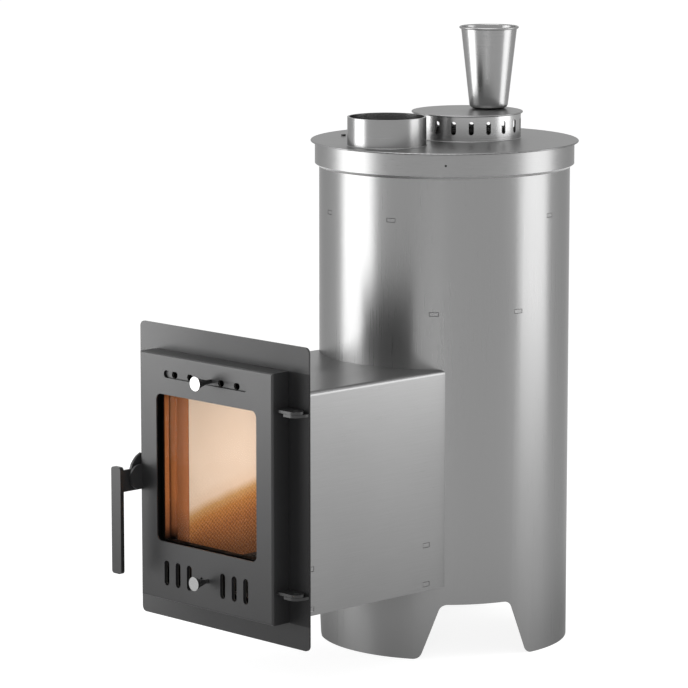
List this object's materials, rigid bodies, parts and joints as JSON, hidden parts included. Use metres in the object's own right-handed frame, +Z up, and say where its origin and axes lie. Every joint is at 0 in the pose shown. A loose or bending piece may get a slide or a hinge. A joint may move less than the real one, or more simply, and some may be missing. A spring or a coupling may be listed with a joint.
{
  "type": "sauna stove",
  "caption": "Wood-fired sauna stove: round steel casing on cut-out legs, closed heater under a slotted ring and lid, flue collar, fuel channel and a glazed door with two air slides",
  "frame": {"origin": "the axis of the round casing, on the floor that the stove stands on", "axes": "+Z up along the casing's axis, -Y towards the door, +X to the right for someone who faces the door"},
  "size_m": [0.3952, 0.7136, 0.9041],
  "materials": {
    "casing_steel": "satin",
    "inner_steel": "matte",
    "cup_steel": "polished",
    "door_paint": "satin",
    "dark_paint": "matte",
    "black_screw": "satin",
    "grate_iron": "matte",
    "firebrick": "matte",
    "window_glass": "polished",
    "glass_seal": "matte",
    "rope_seal": "matte",
    "knob_chrome": "polished"
  },
  "bodies": {
    "stove": {"outer_casing": "casing_steel", "casing_spacers": "inner_steel", "firebox_shell": "inner_steel", "firebox_floor": "inner_steel", "firebox_top": "inner_steel", "heater_vessel": "inner_steel", "smoke_baffle": "inner_steel", "flue_collar": "casing_steel", "lid_plate": "casing_steel", "lid_band": "casing_steel", "band_screws": "black_screw", "lid_plug": "inner_steel", "valve_ring": "casing_steel", "channel_casing": "casing_steel", "channel_spacers": "inner_steel", "fuel_channel": "inner_steel", "side_linings": "firebrick", "grate_rails": "inner_steel", "grate": "grate_iron", "ash_pan": "inner_steel", "portal_plate": "door_paint", "hinge_lugs": "door_paint", "hinge_pins": "inner_steel", "keeper_plate": "door_paint", "keeper_pin": "inner_steel"},
    "valve_lid": {"valve_disc": "casing_steel", "valve_spigot": "inner_steel"},
    "cup": {"cup": "cup_steel"},
    "door": {"door_shell": "door_paint", "door_inner_panel": "dark_paint", "door_glass": "window_glass", "glass_gasket": "glass_seal", "glass_retainer": "inner_steel", "retainer_screws": "inner_steel", "door_seal": "rope_seal", "door_straps": "door_paint", "handle_ear": "dark_paint", "handle_pin": "inner_steel", "pin_spacer": "inner_steel", "pin_cap": "dark_paint", "upper_guide": "inner_steel", "lower_guide": "inner_steel"},
    "handle": {"handle_lever": "dark_paint", "handle_grip": "door_paint"},
    "upper_air": {"upper_slide": "door_paint", "upper_knob": "inner_steel", "upper_knob_face": "knob_chrome"},
    "lower_air": {"lower_slide": "door_paint", "lower_knob": "inner_steel", "lower_knob_face": "knob_chrome"}
  },
  "joints": [
    {"name": "door_hinge", "type": "hinge", "parent": "stove", "child": "door", "pos_m": [0.1624, -0.4553, 0.2861], "axis": [0, 0, 1], "range_deg": [0, 115]},
    {"name": "handle_latch", "type": "hinge", "parent": "door", "child": "handle", "pos_m": [-0.148, -0.478, 0.2816], "axis": [1, 0, 0], "range_deg": [-50, 10]},
    {"name": "upper_air_slide", "type": "slide", "parent": "door", "child": "upper_air", "axis": [1, 0, 0], "range_m": [-0.016, 0]},
    {"name": "lower_air_slide", "type": "slide", "parent": "door", "child": "lower_air", "axis": [1, 0, 0], "range_m": [-0.012, 0]},
    {"name": "valve_lid_lift", "type": "slide", "parent": "stove", "child": "valve_lid", "axis": [0, 0, 1], "range_m": [0, 0.06]},
    {"name": "cup_lift", "type": "slide", "parent": "valve_lid", "child": "cup", "axis": [0, 0, 1], "range_m": [0, 0.08]}
  ]
}
